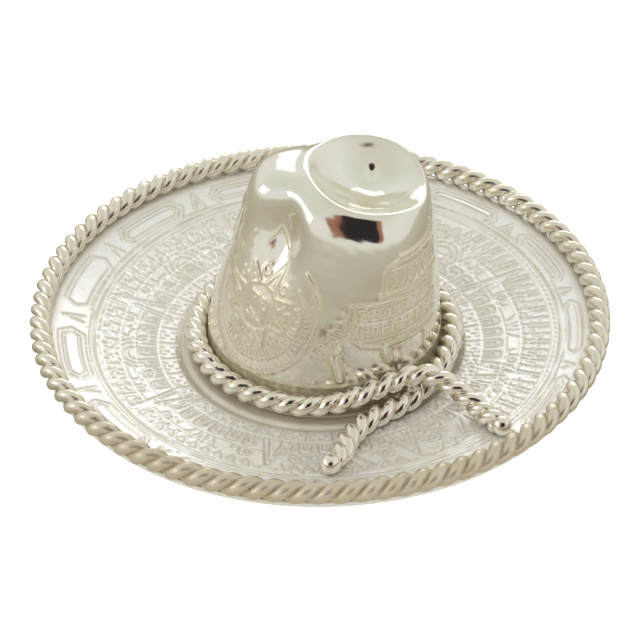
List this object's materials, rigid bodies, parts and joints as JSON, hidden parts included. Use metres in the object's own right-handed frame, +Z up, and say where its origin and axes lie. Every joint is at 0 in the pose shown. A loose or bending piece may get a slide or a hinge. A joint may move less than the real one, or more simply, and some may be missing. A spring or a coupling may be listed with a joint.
{
  "type": "miniature sombrero",
  "caption": "Miniature silver sombrero: dished patterned brim with a twisted-rope edge, hollow pinched crown and a rope hat band with ball ends.",
  "frame": {"origin": "on the surface the hat stands on, under the middle of the brim's outline", "axes": "+Z up through the crown, -Y towards the side where the band's tails lie, +X to the right seen from that side; the crown's pinched front points to -X"},
  "size_m": [0.08, 0.0799, 0.0307],
  "materials": {
    "brim_silver": "pressed sterling silver sheet, polished on the high places",
    "crown_silver": "pressed sterling silver sheet, mirror polished at the top",
    "rope_silver": "twisted sterling silver wire, polished, with tarnish in the grooves"
  },
  "bodies": {
    "root": {"brim": "brim_silver", "crown": "crown_silver", "edge_wire_1": "rope_silver", "edge_wire_2": "rope_silver", "band_wire_1": "rope_silver", "band_wire_2": "rope_silver", "band_ball_left": "rope_silver", "band_ball_right": "rope_silver"}
  },
  "joints": []
}
